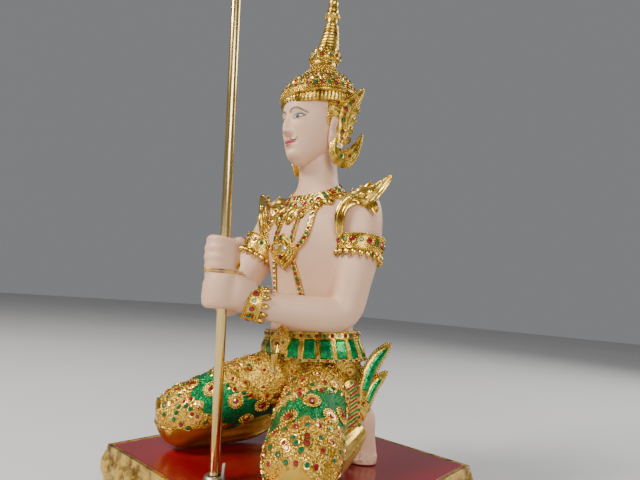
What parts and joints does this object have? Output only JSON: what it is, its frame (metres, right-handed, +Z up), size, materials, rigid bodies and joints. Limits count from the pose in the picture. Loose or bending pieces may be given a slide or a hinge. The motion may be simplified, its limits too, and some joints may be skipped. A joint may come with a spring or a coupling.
{
  "type": "resin deity figure",
  "caption": "Kneeling crowned deity figure in gilt dress, both fists round an upright pole, on a square lacquered plinth with a gilt carved band.",
  "frame": {"origin": "middle of the plinth's underside", "axes": "+Z up, -Y the way the figure's knees and chest face, +X to its left hand"},
  "size_m": [0.1598, 0.1598, 0.369],
  "materials": {
    "resin": "matte painted resin, with gilt and enamelled trousers",
    "gilt": "gilt cast resin",
    "tube": "polished",
    "socket": "dull",
    "lacquer": "deep red gloss lacquer",
    "gilt_wood": "gilt carved wood"
  },
  "bodies": {
    "root": {"figure_body": "resin", "crown": "gilt", "collar": "gilt", "chest_ornament": "gilt", "belt": "gilt", "ear_ornament_left": "gilt", "ear_ornament_right": "gilt", "shoulder_flame_left": "gilt", "shoulder_flame_right": "gilt", "armlet_left": "gilt", "armlet_right": "gilt", "bracelet_left": "gilt", "bracelet_right": "gilt", "hip_wing_left": "gilt", "hip_wing_right": "gilt", "hip_panel_left": "gilt", "hip_panel_right": "gilt", "pole": "tube", "pole_socket": "socket", "plinth_board": "lacquer", "plinth_moulding": "gilt_wood"}
  },
  "joints": []
}
